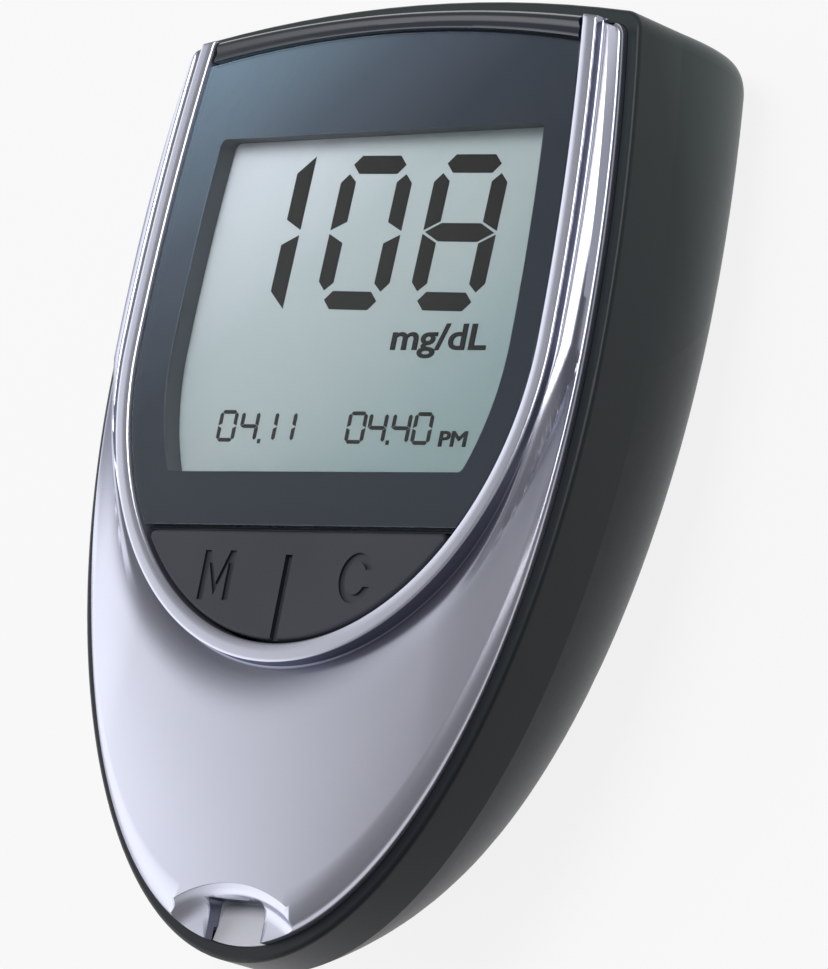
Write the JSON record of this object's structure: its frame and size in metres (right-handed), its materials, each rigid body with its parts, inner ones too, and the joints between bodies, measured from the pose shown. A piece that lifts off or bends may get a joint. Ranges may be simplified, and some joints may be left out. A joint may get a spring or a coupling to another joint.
{
  "type": "blood glucose meter",
  "caption": "Pocket blood glucose meter with a rounded case, a liquid crystal display, a rocking function key, a test strip port and a sliding battery door.",
  "frame": {"origin": "middle of the case's length and width, on the flat of the back", "axes": "+Z out of the display, +Y towards the display end, +X to the right for a reader with the display end up"},
  "size_m": [0.0646, 0.0886, 0.0203],
  "materials": {
    "housing_plastic": "fine satin moulded charcoal",
    "silver_paint": "silver lacquer on a moulded cover, satin",
    "gloss_black": "glossy dark moulding",
    "clear_lens": "clear hard-coated acrylic",
    "printed_mask": "dark print behind the lens",
    "tape": "black double-sided tape",
    "chassis_plastic": "matt black moulding",
    "key_plastic": "soft matt slate",
    "polarizer_film": "polarising film",
    "display_glass": "liquid crystal cell",
    "reflector_film": "satin reflecting film",
    "contact_rubber": "silicone contact strip",
    "holder_plastic": "natural moulding",
    "board_laminate": "green solder mask",
    "chip_black": "moulded black",
    "crystal_can": "plain metal can",
    "chip_ceramic": "ceramic with tinned ends",
    "dome_film": "thin polyester film",
    "guide_plastic": "moulding in pale silver, like the cover",
    "socket_plastic": "black moulding",
    "cell_steel": "plain steel can",
    "contact_metal": "nickel-plated spring strip",
    "gold_plate": "gold-plated spring fingers",
    "screw_steel": "zinc-plated"
  },
  "bodies": {
    "housing": {"rear_housing": "housing_plastic", "coin_cell": "cell_steel", "battery_contact_positive": "contact_metal", "battery_contact_negative": "contact_metal", "front_cover": "silver_paint", "top_trim": "gloss_black", "display_lens": "clear_lens", "lens_mask": "printed_mask", "lens_adhesive": "tape", "front_chassis": "chassis_plastic", "lcd_polarizer": "polarizer_film", "lcd_cell": "display_glass", "lcd_reflector": "reflector_film", "zebra_strip": "contact_rubber", "lcd_holder": "holder_plastic", "main_board": "board_laminate", "processor_chip": "chip_black", "analog_chip": "chip_black", "clock_crystal": "crystal_can", "board_components": "chip_ceramic", "beeper": "chip_black", "key_domes": "contact_metal", "dome_sheet": "dome_film", "strip_guide": "guide_plastic", "strip_connector": "socket_plastic", "strip_contacts": "gold_plate", "housing_screws": "screw_steel", "board_screws": "screw_steel"},
    "key": {"rocker_key": "key_plastic"},
    "door": {"battery_door": "housing_plastic"}
  },
  "joints": [
    {"name": "key_rock", "type": "hinge", "parent": "housing", "child": "key", "pos_m": [0, -0.0107, 0.0174], "axis": [0, 1, 0], "range_deg": [-2, 2], "stiffness_Nm_per_rad": 0.6},
    {"name": "door_slide", "type": "slide", "parent": "housing", "child": "door", "axis": [0, 1, 0], "range_m": [0, 0.032]}
  ]
}
